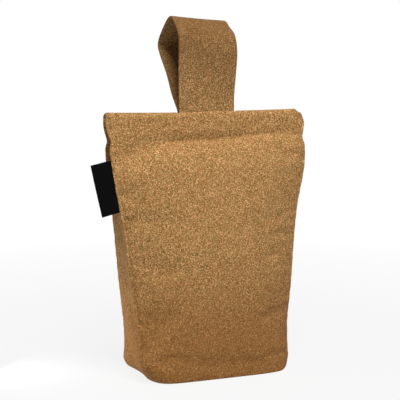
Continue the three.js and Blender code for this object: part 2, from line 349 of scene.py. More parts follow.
@dataclass(frozen=True)
class TabSatin:
    """The finish of the bare black woven tab.

    Attributes:
        name: The material's name.
        ground: Linear colour of the satin's floats.
        dark: Linear colour of the gaps between them.
        lint: Linear colour of the fine lint on it.
        pitch: Distance between the floats, in metres.
        lint_size: Size of the patches of lint, in metres.
        relief: Height of the ribs' bump, in metres.
    """

    name: str
    ground: tuple[float, float, float] = (0.0018, 0.0018, 0.0021)
    dark: tuple[float, float, float] = (0.0004, 0.0004, 0.0005)
    lint: tuple[float, float, float] = (0.010, 0.010, 0.011)
    pitch: float = 0.4 * MM
    lint_size: float = 1.4 * MM
    relief: float = 0.12 * MM

    def build(self) -> bpy.types.Material:
        """Make the node material.

        Returns:
            The new material.
        """
        board = NodeBoard(self.name)
        across, along = board.weave_cells(self.pitch)
        rib = board.thread_profile(along, board.value("DIVIDE", across, 4.0))
        float_tone = board.cell_random(along, board.value("DIVIDE", across, 5.0), 5.9)
        place = board.add("ShaderNodeTexCoord").outputs["Object"]
        lint = board.noise(place, 1 / self.lint_size, 3.0, 0.7)
        level = board.value("MULTIPLY", rib, 0.6)
        level = board.value("ADD", level, board.value("MULTIPLY", float_tone.outputs["Value"], 0.4))
        colour = board.ramp(level, [(0.15, self.dark), (0.8, self.ground)])
        dusted = board.mixed_colour(board.ramp_value(lint, 0.64, 0.8, 0.3), colour, self.lint)
        board.set_bump(rib, 0.4, self.relief)
        board.link(dusted, board.shader.inputs["Base Color"])
        board.shader.inputs["Roughness"].default_value = 0.75
        board.shader.inputs["Specular IOR Level"].default_value = 0.05
        return board.material


class NodeBoard:
    """A material's node tree with short calls for the nodes that cloth needs."""

    def __init__(self, name: str) -> None:
        """Start a material with one Principled shader.

        Args:
            name: The material's name.
        """
        self.material = bpy.data.materials.new(name)
        self.material.use_nodes = True
        self.tree = self.material.node_tree
        self.shader = self.tree.nodes["Principled BSDF"]

    def add(self, kind: str) -> bpy.types.Node:
        """Add a node of one kind."""
        return self.tree.nodes.new(kind)

    def link(self, source: bpy.types.NodeSocket, target: bpy.types.NodeSocket) -> None:
        """Join two sockets."""
        self.tree.links.new(source, target)

    def feed(self, socket: bpy.types.NodeSocket, value: object) -> None:
        """Give a socket a link or a constant.

        Args:
            socket: The input to fill.
            value: Another node's output, a number or a colour.
        """
        if isinstance(value, bpy.types.NodeSocket):
            self.link(value, socket)
        elif isinstance(value, tuple):
            socket.default_value = (*value, 1.0) if len(value) == 3 else value
        else:
            socket.default_value = value

    def value(self, operation: str, first: object, second: object = 0.0) -> bpy.types.NodeSocket:
        """Work out one number from one or two others.

        Args:
            operation: Blender's name for the sum.
            first: The first number or output.
            second: The second number or output.

        Returns:
            The result's output.
        """
        node = self.add("ShaderNodeMath")
        node.operation = operation
        self.feed(node.inputs[0], first)
        self.feed(node.inputs[1], second)
        return node.outputs[0]

    def scaled(self, vector: bpy.types.NodeSocket, factor: float) -> bpy.types.NodeSocket:
        """Multiply a vector by a number."""
        node = self.add("ShaderNodeVectorMath")
        node.operation = "SCALE"
        self.link(vector, node.inputs[0])
        node.inputs["Scale"].default_value = factor
        return node.outputs[0]

    def split(self, vector: bpy.types.NodeSocket) -> tuple:
        """Take the first two parts of a vector."""
        node = self.add("ShaderNodeSeparateXYZ")
        self.link(vector, node.inputs[0])
        return node.outputs[0], node.outputs[1]

    def noise(
        self, vector: bpy.types.NodeSocket, scale: float, detail: float, rough: float
    ) -> bpy.types.NodeSocket:
        """Add a noise texture.

        Args:
            vector: Where the noise is read.
            scale: Swells for each metre.
            detail: Octaves of finer noise.
            rough: How strong the finer noise is.

        Returns:
            The noise, from 0 to 1.
        """
        node = self.add("ShaderNodeTexNoise")
        self.link(vector, node.inputs["Vector"])
        node.inputs["Scale"].default_value = scale
        node.inputs["Detail"].default_value = detail
        node.inputs["Roughness"].default_value = rough
        return node.outputs[0]

    def thread_profile(self, across: object, along: object) -> bpy.types.NodeSocket:
        """The round back of a thread, dipping where it goes under.

        Args:
            across: Thread number across the thread.
            along: Crossing number along the thread.

        Returns:
            The thread's height, from 0 to 1.
        """
        round_back = self.value("ABSOLUTE", self.value("SINE", self.value("MULTIPLY", across, math.pi)))
        dip = self.value("ABSOLUTE", self.value("SINE", self.value("MULTIPLY", along, math.pi)))
        back = self.value("POWER", round_back, THREAD_ROUND)
        crossing = self.value("ADD", self.value("MULTIPLY", dip, THREAD_DIP), THREAD_LOW)
        return self.value("MULTIPLY", back, crossing)

    def checker(self, across: object, along: object) -> bpy.types.NodeSocket:
        """1 where the lengthwise thread lies on top of a plain weave, and 0 elsewhere."""
        total = self.value("ADD", self.value("FLOOR", across), self.value("FLOOR", along))
        return self.value("ABSOLUTE", self.value("SINE", self.value("MULTIPLY", total, math.pi / 2)))

    def weave_cells(self, pitch: float, wander: float = 0.0) -> tuple:
        """Count the threads across and along the cloth.

        Args:
            pitch: Distance between threads, in metres.
            wander: How far threads stray from straight lines, in threads.

        Returns:
            The two counts' outputs.
        """
        weave_map = self.add("ShaderNodeUVMap")
        weave_map.uv_map = WEAVE_MAP
        cells = self.scaled(weave_map.outputs["UV"], 1 / pitch)
        if wander == 0.0:
            return self.split(cells)
        stray = self.add("ShaderNodeTexNoise")
        self.link(cells, stray.inputs["Vector"])
        stray.inputs["Scale"].default_value = 0.3
        stray.inputs["Detail"].default_value = 1.0
        moved = self.add("ShaderNodeVectorMath")
        moved.operation = "MULTIPLY_ADD"
        self.link(stray.outputs["Color"], moved.inputs[0])
        moved.inputs[1].default_value = (4 * wander, 4 * wander, 0.0)
        self.link(cells, moved.inputs[2])
        return self.split(moved.outputs[0])

    def inner_face(self) -> bpy.types.NodeSocket:
        """1 where the cloth's map was moved aside to mark a loop's inner face, and 0 elsewhere."""
        weave_map = self.add("ShaderNodeUVMap")
        weave_map.uv_map = WEAVE_MAP
        return self.value("GREATER_THAN", self.split(weave_map.outputs["UV"])[0], INNER_SHIFT / 2)

    def set_bump(self, height: bpy.types.NodeSocket, strength: float, distance: float) -> None:
        """Give the shader a bump.

        Args:
            height: The relief, about 0 to 1.
            strength: How strongly the bump shows, from 0 to 1.
            distance: The relief's real height, in metres.
        """
        bump = self.add("ShaderNodeBump")
        bump.inputs["Strength"].default_value = strength
        bump.inputs["Distance"].default_value = distance
        self.link(height, bump.inputs["Height"])
        self.link(bump.outputs["Normal"], self.shader.inputs["Normal"])

    def cell_random(self, across: object, along: object, seed: float) -> bpy.types.Node:
        """One random number and colour for each thread cell.

        Args:
            across: Cell number one way.
            along: Cell number the other way.
            seed: Picks another set of numbers.

        Returns:
            The white noise node.
        """
        joined = self.add("ShaderNodeCombineXYZ")
        self.feed(joined.inputs[0], self.value("FLOOR", across))
        self.feed(joined.inputs[1], self.value("FLOOR", along))
        joined.inputs[2].default_value = seed
        white = self.add("ShaderNodeTexWhiteNoise")
        white.noise_dimensions = "3D"
        self.link(joined.outputs[0], white.inputs["Vector"])
        return white

    def mixed_value(self, share: object, first: object, second: object) -> bpy.types.NodeSocket:
        """Blend two numbers: the second at share 0, the first at share 1."""
        node = self.add("ShaderNodeMix")
        node.data_type = "FLOAT"
        self.feed(node.inputs[0], share)
        self.feed(node.inputs[2], second)
        self.feed(node.inputs[3], first)
        return node.outputs[0]

    def mixed_colour(self, share: object, first: object, second: object) -> bpy.types.NodeSocket:
        """Blend two colours: the first at share 0, the second at share 1."""
        node = self.add("ShaderNodeMix")
        node.data_type = "RGBA"
        self.feed(node.inputs[0], share)
        self.feed(node.inputs[6], first)
        self.feed(node.inputs[7], second)
        return node.outputs[2]

    def ramp(self, share: object, stops: list) -> bpy.types.NodeSocket:
        """Turn a number into a colour.

        Args:
            share: The number, from 0 to 1.
            stops: Pairs of position and linear colour.

        Returns:
            The colour's output.
        """
        node = self.add("ShaderNodeValToRGB")
        self.feed(node.inputs[0], share)
        stops_made = node.color_ramp.elements
        while len(stops_made) < len(stops):
            stops_made.new(0.5)
        for made, (position, colour) in zip(stops_made, stops):
            made.position = position
            made.color = (*colour, 1.0)
        return node.outputs[0]

    def ramp_value(self, share: object, low: float, high: float, top: float) -> bpy.types.NodeSocket:
        """Map a number from one range onto 0 to top, held at both ends."""
        node = self.add("ShaderNodeMapRange")
        self.feed(node.inputs[0], share)
        node.inputs[1].default_value = low
        node.inputs[2].default_value = high
        node.inputs[3].default_value = 0.0
        node.inputs[4].default_value = top
        return node.outputs[0]


# The bag's cloth takes the default painted shade, which is darker towards its foot.
BAG_CLOTH = Heathered(
    name="tan_heathered_cloth",
    ground=(0.394, 0.194, 0.061),
    bright=(0.560, 0.295, 0.106),
    cream=(0.900, 0.560, 0.250),
    dark=(0.105, 0.040, 0.008),
    warm=(0.520, 0.195, 0.070),
    cool=(0.310, 0.236, 0.076),
)
# The strap is the same cloth as the bag. Its darker colours are painted shade, and it gets painted shade
# at its top and inside its loop.
SHADED_STRAP_CLOTH = Heathered(
    name="tan_strap_cloth_shaded",
    ground=(0.322, 0.160, 0.051),
    bright=(0.480, 0.255, 0.092),
    cream=(0.800, 0.500, 0.225),
    dark=(0.075, 0.028, 0.006),
    warm=(0.420, 0.158, 0.057),
    cool=(0.252, 0.192, 0.062),
    painted_shade_colour=(0.120, 0.048, 0.012),
    painted_shade=0.55,
    inner=0.5,
    painted_shade_from=285 * MM,
    painted_shade_full=350 * MM,
)
SATIN = TabSatin(name="black_tab_satin")


@dataclass(frozen=True)
class ClothRelief:
    """The soft dents, seam welts and gathers of the filled cloth.

    Heights are in millimetres and all other lengths in metres.
    A swell is the size of one swell of the noise and the seed that picks it.
    """

    foot_fade: float = 18 * MM
    top_fade: float = 3 * MM
    broad: tuple[float, float] = (52 * MM, 4.1)
    middle: tuple[float, float] = (21 * MM, 9.3)
    fine: tuple[float, float] = (7.5 * MM, 2.7)
    broad_height: float = 0.8
    middle_height: float = 0.35
    fine_height: float = 0.10
    welt_height: float = 0.45
    welt_reach: float = 0.9 * MM
    ditch_depth: float = 0.5
    ditch_from_seam: float = 2.4 * MM
    ditch_reach: float = 1.3 * MM
    gather_pitch: float = 1.9 * MM
    gather_stray: float = 3.0
    gather_from_seam: float = 4 * MM
    gather_reach: float = 4 * MM
    gather_height: float = 0.22


@dataclass
class FilledBag:
    """The sewn and filled bag, as a ring of columns from the sole to the top edge.

    All sizes are in metres and follow the CAD solid that this piece stands for.
    """

    height: float = 265 * MM
    foot_width: float = 164 * MM
    top_width: float = 215 * MM
    seam_front: float = 25 * MM
    seam_back: float = 36 * MM
    bulge_foot: float = 13 * MM
    bulge_belly: float = 19 * MM
    bulge_shoulder: float = 12 * MM
    belly: float = 105 * MM
    shoulder: float = 214 * MM
    flatness: float = 2.6
    flatness_foot: float = 5.0
    tuck_foot: float = 4 * MM
    tuck_top: float = 13 * MM
    tuck_top_height: float = 226 * MM
    tuck_top_reach: float = 27 * MM
    back_inset: float = 5 * MM
    swell_left: float = 2 * MM
    swell_right: float = 7 * MM
    swell_reach: float = 36 * MM
    pinch: float = 2.6 * MM
    pinch_reach: float = 6 * MM
    waist: float = 2.4 * MM
    waist_height: float = 48 * MM
    waist_reach: float = 34 * MM
    flare: float = 2.5 * MM
    flare_reach: float = 14 * MM
    lower_radius: float = 13 * MM
    lift_left: float = 20 * MM
    lift_right: float = 2 * MM
    sole_inset_left: float = 20 * MM
    sole_inset_right: float = 4 * MM
    sole_inset_front: float = 2 * MM
    sole_inset_back: float = 8 * MM
    sole_roundness: float = 6.0
    band: float = 26 * MM
    band_thickness: float = 7 * MM
    lip_swell: float = 0.9 * MM
    lip_height: float = 5 * MM
    crease_above: float = 6.5 * MM
    crease_below: float = 2.5 * MM
    crease_fan: float = 16 * MM
    crease_spread: float = 9 * MM
    crease_places: tuple[float, ...] = (-1.0, -0.9, -0.65, -0.4, -0.15, 0.07, 0.4, 0.7, 1.0)
    crease_drops: tuple[float, ...] = (20.0, 17.5, 10.5, 3.5, 2.2, 2.1, -1.6, -2.8, -1.5)
    crease_depths: tuple[float, ...] = (3.8, 5.0, 6.4, 6.8, 7.2, 6.4, 5.0, 4.4, 3.0)
    roll_height: float = 1.4 * MM
    roll_half: float = 8 * MM
    top_lift: float = 1.2 * MM
    top_sag_front: float = 1.0 * MM
    top_sag_back: float = 2.8 * MM
    top_rise_right: float = 1.1 * MM
    top_rise_strap: float = 1.2 * MM
    pull_x: float = -26 * MM
    pull_z: float = 255 * MM
    pull_reach: float = 3.2 * MM
    pull_height: float = 0.7 * MM
    taper_right: float = 6 * MM
    taper_left: float = 1.5 * MM
    taper_height: float = 13 * MM
    strap_half: float = 30 * MM
    strap_x: float = 0.2 * MM
    strap_seat: float = 20 * MM
    housing_half: float = 5.2 * MM
    housing_reach: float = 5 * MM
    housing_ease: float = 3 * MM
    front_steps: int = 72
    side_steps: int = 14
    wall_rows: int = 90
    round_rows: int = 8
    held_seam: float = 3 * MM
    width_curve: float = 1.5
    depth_curve: float = 1.6
    fullness_curve: float = 0.8
    seam_sharpness: float = 12.0
    corner_curve: float = 6.0
    tuck_curve: float = 1.3
    columns_even: float = 0.45
    columns_crowded: float = 0.55
    rows_even: float = 0.62
    rows_crowded: float = 0.38
    left_fade: float = 0.35
    soft_start: float = 0.25
    soft_span: float = 0.4
    soft_blunting: float = 0.7
    fan_start: float = 0.15
    rise_start: float = 0.1
    rise_ease: float = 0.08
    strap_edge_ease: float = 1.2 * MM
    top_steps: int = 4
    top_turn: float = 4.4
    smooth_angle: float = 42.0
    slack: float = 0.01
    pressure: float = 4.0
    cloth_quality: int = 5
    cloth_mass: float = 0.25
    stretch: float = 20.0
    shear: float = 8.0
    bending: float = 1.2
    frames: int = 20
    most_moved: float = 3 * MM
    mouth_half: float = 3.1 * MM
    mouth_depth: float = 4 * MM
    mouth_below: float = 6 * MM
    mouth_ease_across: float = 0.8 * MM
    mouth_ease_through: float = 0.25 * MM
    mouth_ease_up: float = 0.5 * MM
    held_ease_band: float = 2 * MM
    held_ease_sole: float = 3 * MM
    relief: ClothRelief = ClothRelief()
    name: str = "bag_cover"
    columns: list = field(default_factory=list)

    def build(self) -> bpy.types.Object:
        """Model the bag and dress it.

        Returns:
            The finished piece.
        """
        self.columns = self.ring_columns()
        piece = self.ring_mesh()
        lay_weave(piece)
        self.fill_with_pressure(piece)
        apply_modifier(piece, "SUBSURF", levels=1, render_levels=1)
        self.shape_details(piece)
        select_only(piece)
        bpy.ops.object.shade_smooth_by_angle(angle=math.radians(self.smooth_angle))
        piece.data.materials.clear()
        piece.data.materials.append(BAG_CLOTH.build())
        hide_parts("filled_bag")
        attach(piece, ROOT)
        return piece

    def ring_columns(self) -> list:
        """List the columns round the bag.

        Returns:
            Pairs of face and position on it, from -1 to 1, anticlockwise seen from above.
        """
        columns = []
        for i in range(self.front_steps + 1):
            columns.append((BagFace.FRONT, self.crowded(-1 + 2 * i / self.front_steps)))
        for i in range(1, self.side_steps):
            columns.append((BagFace.RIGHT, -1 + 2 * i / self.side_steps))
        for i in range(self.front_steps + 1):
            columns.append((BagFace.BACK, self.crowded(1 - 2 * i / self.front_steps)))
        for i in range(1, self.side_steps):
            columns.append((BagFace.LEFT, 1 - 2 * i / self.side_steps))
        return columns

    def crowded(self, share: float) -> float:
        """Move a position towards the nearer seam, where the cloth bends most."""
        return self.columns_even * share + self.columns_crowded * math.sin(share * math.pi / 2)

    def bulge_at(self, z: float) -> float:
        """How far the middle of a panel stands out from its seams.

        Args:
            z: Height above the floor.

        Returns:
            The bulge, in metres.
        """
        stops = [
            (0.0, self.bulge_foot),
            (self.belly, self.bulge_belly),
            (self.shoulder, self.bulge_shoulder),
            (self.height - self.band, self.band_thickness / 2),
            (self.height, 0.0),
        ]
        slopes = [0.0]
        for before, after in zip(stops, stops[2:]):
            slopes.append((after[1] - before[1]) / (after[0] - before[0]))
        slopes.append(0.0)
        z = min(max(z, 0.0), self.height)
        k = max(i for i in range(len(stops) - 1) if stops[i][0] <= z)
        (start, low), (end, high) = stops[k], stops[k + 1]
        span = end - start
        t = (z - start) / span
        ease = t * t * (3 - 2 * t)
        lean = slopes[k] * span * t * (1 - t) ** 2 - slopes[k + 1] * span * t * t * (1 - t)
        return low + (high - low) * ease + lean

    def half_width(self, z: Height, side: float) -> Height:
        """Distance from the middle plane to a side seam.

        Args:
            z: Height above the floor.
            side: -1 for the left seam and 1 for the right.

        Returns:
            The half width, in metres.
        """
        share = np.maximum(z, 0.0) / self.height
        swell = self.swell_left if side < 0 else self.swell_right
        taper = self.taper_left if side < 0 else self.taper_right
        into_corner = np.maximum(z - self.height + self.taper_height, 0.0) / self.taper_height
        width = self.foot_width / 2 + (self.top_width - self.foot_width) / 2 * share**self.width_curve
        width = width + swell * hump(z - self.shoulder, self.swell_reach)
        width = width - self.pinch * hump(z - self.height + self.band, self.pinch_reach)
        width = width - self.waist * hump(z - self.waist_height, self.waist_reach)
        return width + self.flare * hump(z, self.flare_reach) - taper * into_corner**2

    def seam_depth(self, z: Height, foot_depth: float) -> Height:
        """Distance of a seam from the plane of the top edge."""
        share = np.clip(z / self.height, 0.0, 1.0)
        half = self.band_thickness / 2
        return half + (foot_depth - half) * (1 - share**self.depth_curve)

    def fullness(self, z: Height) -> Height:
        """How strongly the side panels are drawn in, from 1 at the floor to 0 at the top."""
        return np.maximum(1 - z / self.height, 0.0) ** self.fullness_curve

    def crease_at(self, u: float) -> float:
        """Height of the crease under the band, which rises to the right and sinks to the left seam."""
        drop = float(np.interp(u, self.crease_places, self.crease_drops))
        return self.height - self.band - drop * MM

    def band_relief(self, u: float, x: float, z: float) -> float:
        """Relief of the band, its lip, the crease and the roll of cloth below it.

        Args:
            u: Position across the panel, from -1 to 1.
            x: Position across, in metres.
            z: Height above the floor.

        Returns:
            How far the cloth stands out, in metres.
        """
        fade = 1 - self.left_fade * max(-u, 0.0)
        crease = self.crease_at(u)
        edge = self.strap_half + self.housing_reach
        housing = eased_step((edge - abs(x - self.strap_x)) / self.housing_ease)
        housing *= eased_step((z - self.height + self.strap_seat) / self.housing_ease)
        soft = float(np.clip((-u - self.soft_start) / self.soft_span, 0.0, 1.0))
        below = self.crease_below + self.crease_fan * max(-u - self.fan_start, 0.0)
        reach = self.crease_above + self.crease_spread * soft if z > crease else below
        roll = self.roll_height * fade * hump(z - crease + self.roll_half + below, self.roll_half)
        depth = float(np.interp(u, self.crease_places, self.crease_depths)) * MM
        bluntness = 1 + self.soft_blunting * soft
        groove = depth * math.exp(-((abs(z - crease) / reach) ** bluntness))
        lip = self.lip_swell * hump(z - self.height + self.lip_height, self.lip_height)
        return roll - groove + lip + (self.housing_half - self.band_thickness / 2) * housing

    def pull_relief(self, x: float, z: float) -> float:
        """The small pull in the cloth under the strap's left foot."""
        away = math.hypot(x - self.pull_x, z - self.pull_z)
        return self.pull_height * float(hump(away, self.pull_reach))

    def edge_height(self, face: BagFace, share: float) -> float:
        """Height of the top edge, which sags in the middle and stands higher before the strap.

        Args:
            face: Which face of the bag.
            share: Position across, from -1 at the left seam to 1 at the right one.

        Returns:
            The height above the floor, in metres.
        """
        edge = self.height + self.top_lift
        if face is BagFace.BACK:
            rise = self.top_rise_right * max(share, 0.0) ** 2
            return edge + rise - self.top_sag_back * (1 - share**2)
        edge += self.top_rise_right * eased_step((share + self.rise_start) / self.rise_ease)
        x = abs(share * self.top_width / 2 - self.strap_x)
        strap = eased_step((self.strap_half - x) / self.strap_edge_ease)
        return edge + self.top_rise_strap * strap - self.top_sag_front * (1 - share**2)

    def wall_point(self, face: BagFace, share: float, z: float) -> Vector:
        """A point of the bag's wall.

        Args:
            face: Which face of the bag.
            share: Position on the face, from -1 to 1.
            z: Height above the floor.

        Returns:
            The point, in metres.
        """
        front_depth = self.seam_depth(z, self.seam_front)
        back_depth = self.seam_depth(z, self.seam_back)
        fullness = self.fullness(z)
        if face in (BagFace.LEFT, BagFace.RIGHT):
            side = -1.0 if face is BagFace.LEFT else 1.0
            drawn = self.tuck_foot * (1 - share**2) + self.back_inset * (1 + share) / 2
            folded = self.tuck_top * hump(z - self.tuck_top_height, self.tuck_top_reach)
            drawn = drawn * fullness + folded * (1 - abs(share) ** self.tuck_curve)
            y = (share * (back_depth + front_depth) + back_depth - front_depth) / 2
            return Vector((side * (self.half_width(z, side) - drawn), y, z))
        side = math.copysign(1.0, share)
        front = face is BagFace.FRONT
        inset = 0.0 if front else self.back_inset * fullness * abs(share)
        x = share * (self.half_width(z, side) - inset)
        flatness = self.flatness + (self.flatness_foot - self.flatness) * hump(z, self.belly)
        across = 1 - abs(share) ** flatness
        edgeless = 1 - abs(share) ** self.seam_sharpness
        stand = self.bulge_at(z) * across
        stand += edgeless * self.band_relief(share if front else abs(share), x, z)
        if front:
            stand += edgeless * self.pull_relief(x, z)
        return Vector((x, -front_depth - stand if front else back_depth + stand, z))

    def corner_lift(self, face: BagFace, share: float) -> float:
        """How much rounder the lower edge is near the front corners."""
        if face is BagFace.BACK:
            return 0.0
        if face is BagFace.FRONT:
            lift = self.lift_left if share < 0 else self.lift_right
            return lift * abs(share) ** self.corner_curve
        lift = self.lift_left if face is BagFace.LEFT else self.lift_right
        return lift * (1 - share) / 2

    def sole_point(self, wall: Vector) -> Vector:
        """Where a wall column meets the flat sole.

        Args:
            wall: The column's point at the top of its rounded lower edge.

        Returns:
            The point on the floor.
        """
        half_x = self.foot_width / 2 - (self.sole_inset_left if wall.x < 0 else self.sole_inset_right)
        front_seam = self.seam_front - self.sole_inset_front
        back_seam = self.seam_back - self.sole_inset_back
        seam = front_seam if wall.y < 0 else back_seam
        share_x = abs(wall.x / half_x) ** self.sole_roundness
        share_y = abs(wall.y / (seam + self.bulge_foot)) ** self.sole_roundness
        reach = (share_x + share_y) ** (1 / self.sole_roundness)
        return Vector((wall.x / reach, wall.y / reach, 0.0))

    def column_points(self, face: BagFace, share: float) -> list:
        """Points of one column, from the floor up.

        Args:
            face: Which face of the bag.
            share: Position on the face, from -1 to 1.

        Returns:
            The points, in metres.
        """
        radius = self.lower_radius + self.corner_lift(face, share)
        foot = self.wall_point(face, share, radius)
        sole = self.sole_point(foot)
        points = []
        for i in range(self.round_rows):
            angle = math.pi / 2 * (1 - i / self.round_rows)
            point = sole.lerp(foot, math.cos(angle))
            point.z = radius * (1 - math.sin(angle))
            points.append(point)
        corner = -1.0 if face is BagFace.LEFT else 1.0
        edge = self.edge_height(face, share if face in (BagFace.FRONT, BagFace.BACK) else corner)
        top_round = self.band_thickness / 2
        for i in range(self.wall_rows + 1):
            way = i / self.wall_rows
            way = self.rows_even * way + self.rows_crowded * math.sin(way * math.pi / 2)
            points.append(self.wall_point(face, share, radius + (edge - top_round - radius) * way))
        top = self.wall_point(face, share, edge)
        for i in range(1, self.top_steps + 1):
            angle = math.pi / 2 * i / self.top_turn
            inwards = 1 - math.cos(angle)
            near = min(abs(top.x / self.top_width * 2), 1.0) ** self.seam_sharpness
            x = top.x - math.copysign(top_round * inwards * near, top.x)
            z = edge - top_round * (1 - math.sin(angle))
            points.append(Vector((x, top.y * (1 - inwards), z)))
        return points

    def ring_mesh(self) -> bpy.types.Object:
        """Sew the wall, the sole and the top edge into one closed cover.

        Returns:
            The closed mesh object.
        """
        by_column = [self.column_points(face, share) for face, share in self.columns]
        wall = self.wall_panel(by_column)
        sole = self.end_panel([column[0] for column in by_column])
        top = self.end_panel([column[-1] for column in by_column])
        return sewn([wall, sole, top], self.name)

    def wall_panel(self, by_column: list) -> bpy.types.Object:
        """Wrap one grid of cloth round the bag.

        Args:
            by_column: The columns' points, from the floor up.

        Returns:
            The wrapped grid, open at its sole and its top.
        """
        count, rows = len(by_column), len(by_column[0])
        points = [by_column[j % count][i] for i in range(rows) for j in range(count + 1)]
        return grid_panel(count, rows - 1, points)

    def end_panel(self, ring: list) -> bpy.types.Object:
        """Span the ring of columns with one grid of cloth.

        Args:
            ring: One point of each column, in order round the bag.

        Returns:
            The grid, with its rim on the ring.
        """
        across, deep = self.front_steps, self.side_steps
        front = ring[: across + 1]
        right = ring[across : across + deep + 1]
        back = ring[across + deep : 2 * across + deep + 1][::-1]
        left = (ring[2 * across + deep :] + ring[:1])[::-1]
        points = []
        for j in range(deep + 1):
            v = j / deep
            for i in range(across + 1):
                u = i / across
                between = front[i].lerp(back[i], v) + left[j].lerp(right[j], u)
                corners = front[0].lerp(front[-1], u).lerp(back[0].lerp(back[-1], u), v)
                points.append(between - corners)
        return grid_panel(across, deep, points)

    def seam_distance(self, points: np.ndarray) -> np.ndarray:
        """How far each point lies from the nearest of the four upright seams.

        Args:
            points: Array of shape (points, 3), in metres.

        Returns:
            The distances, in metres.
        """
        x, y, z = points.T
        nearest = np.full(len(points), np.inf)
        for side in (-1, 1):
            half = self.half_width(z, side)
            front = np.hypot(x - side * half, y + self.seam_depth(z, self.seam_front))
            inner = half - self.back_inset * self.fullness(z)
            back = np.hypot(x - side * inner, y - self.seam_depth(z, self.seam_back))
            nearest = np.minimum(nearest, np.minimum(front, back))
        return nearest

    def fill_with_pressure(self, piece: bpy.types.Object) -> None:
        """Let the filling press on the cloth, held at its seams, band and sole.

        Args:
            piece: The bag's mesh.
        """
        before = points_of(piece)
        z = before[:, 2]
        weights = np.maximum(
            hump(self.seam_distance(before), self.held_seam),
            np.maximum(
                eased_step((z - self.height + self.band + self.crease_below) / self.held_ease_band),
                eased_step((self.lower_radius - z) / self.held_ease_sole),
            ),
        )
        held = piece.vertex_groups.new(name="held")
        for index, weight in enumerate(weights):
            held.add([index], float(weight), "REPLACE")
        select_only(piece)
        modifier = piece.modifiers.new("filling", "CLOTH")
        cloth = modifier.settings
        cloth.quality = self.cloth_quality
        cloth.mass = self.cloth_mass
        cloth.tension_stiffness = self.stretch
        cloth.compression_stiffness = self.stretch
        cloth.shear_stiffness = self.shear
        cloth.bending_stiffness = self.bending
        cloth.shrink_min = -self.slack
        cloth.use_pressure = True
        cloth.uniform_pressure_force = self.pressure
        cloth.vertex_group_mass = held.name
        cloth.effector_weights.gravity = 0
        modifier.collision_settings.use_collision = False
        modifier.collision_settings.use_self_collision = False
        modifier.point_cache.frame_start = 1
        modifier.point_cache.frame_end = self.frames
        for step in range(1, self.frames + 1):
            bpy.context.scene.frame_set(step)
        bpy.ops.object.modifier_apply(modifier=modifier.name)
        bpy.context.scene.frame_set(1)
        moved = points_of(piece) - before
        length = np.linalg.norm(moved, axis=1, keepdims=True) + 1e-12
        kept = self.most_moved * np.tanh(length / self.most_moved) / length
        after = before + moved * kept
        after[:, 2] = np.maximum(after[:, 2], 0.0)
        set_points(piece, after)
        piece.vertex_groups.clear()
        LOG.info("filling moved the cloth by %.1f mm at most", 1000 * float(length.max()))

    def shape_details(self, piece: bpy.types.Object) -> None:
        """Add the slack folds, soft dents and seam edges that the cloth has.

        Args:
            piece: The bag's mesh, at its full fineness.
        """
        points = points_of(piece)
        normals = normals_of(piece)
        z = points[:, 2]
        seam = self.seam_distance(points)
        relief = self.relief
        wall = np.clip(z / relief.foot_fade, 0, 1) * np.clip((self.height - z) / relief.top_fade, 0, 1)
        broad = relief.broad_height * cloth_noise(points, *relief.broad)
        middle = cloth_noise(points, *relief.middle)
        fine = relief.fine_height * cloth_noise(points, *relief.fine)
        out = wall * (broad + relief.middle_height * middle + fine) * MM
        welt = relief.welt_height * hump(seam, relief.welt_reach)
        welt = welt - relief.ditch_depth * hump(seam - relief.ditch_from_seam, relief.ditch_reach)
        out = out + wall * welt * MM
        gathers = np.sin(z / relief.gather_pitch + relief.gather_stray * middle)
        gathers = gathers * hump(seam - relief.gather_from_seam, relief.gather_reach)
        out = out + wall * relief.gather_height * MM * gathers
        points = points + normals * out[:, None]
        points[:, 2] = np.maximum(points[:, 2], 0.0)
        self.open_mouth(points)
        set_points(piece, points)

    def open_mouth(self, points: np.ndarray) -> None:
        """Sink the middle of the top edge where the strap goes in.

        Args:
            points: The bag's points, changed in place.
        """
        x, y, z = points.T
        inside = eased_step((self.strap_half - np.abs(x - self.strap_x)) / self.mouth_ease_across)
        inside = inside * eased_step((self.mouth_half - np.abs(y)) / self.mouth_ease_through)
        inside = inside * eased_step((z - self.height + self.mouth_below) / self.mouth_ease_up)
        points[:, 2] -= self.mouth_depth * inside


@dataclass
class StrapLoop:
    """The folded cloth strap, from the CAD node's own loop."""

    loop_middle: tuple[float, float] = (18 * MM, 310 * MM)
    loop_foot: float = 262 * MM
    inner_facing: float = 0.3
    flat_angle: float = 60.0
    name: str = "strap_loop"

    def build(self) -> bpy.types.Object:
        """Model the strap and dress it.

        Returns:
            The finished piece.
        """
        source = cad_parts["strap_handle"]
        piece = bpy.data.objects.new(self.name, source.data.copy())
        bpy.context.scene.collection.objects.link(piece)
        select_only(piece)
        bpy.ops.object.mode_set(mode="EDIT")
        bpy.ops.mesh.select_all(action="SELECT")
        bpy.ops.mesh.remove_doubles(threshold=WELD)
        bend = math.radians(self.flat_angle)
        bpy.ops.mesh.tris_convert_to_quads(face_threshold=bend, shape_threshold=bend)
        bpy.ops.object.mode_set(mode="OBJECT")
        apply_modifier(piece, "SUBSURF", levels=2, render_levels=2)
        lay_weave(piece)
        self.mark_inner_face(piece)
        select_only(piece)
        bpy.ops.object.shade_smooth_by_angle(angle=bend)
        piece.data.materials.clear()
        piece.data.materials.append(SHADED_STRAP_CLOTH.build())
        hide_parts("strap_handle")
        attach(piece, ROOT)
        return piece

    def mark_inner_face(self, piece: bpy.types.Object) -> None:
        """Move the map of the faces that look into the loop aside, so that the finish can paint shade on
        them.

        Args:
            piece: The strap's mesh.
        """
        layer = piece.data.uv_layers[WEAVE_MAP].data
        middle = Vector((0.0, *self.loop_middle))
        for face in piece.data.polygons:
            inwards = middle - face.center
            inwards.x = 0.0
            above = face.center.z > self.loop_foot
            if above and face.normal.dot(inwards.normalized()) > self.inner_facing:
                for corner in face.loop_indices:
                    layer[corner].uv.x += INNER_SHIFT


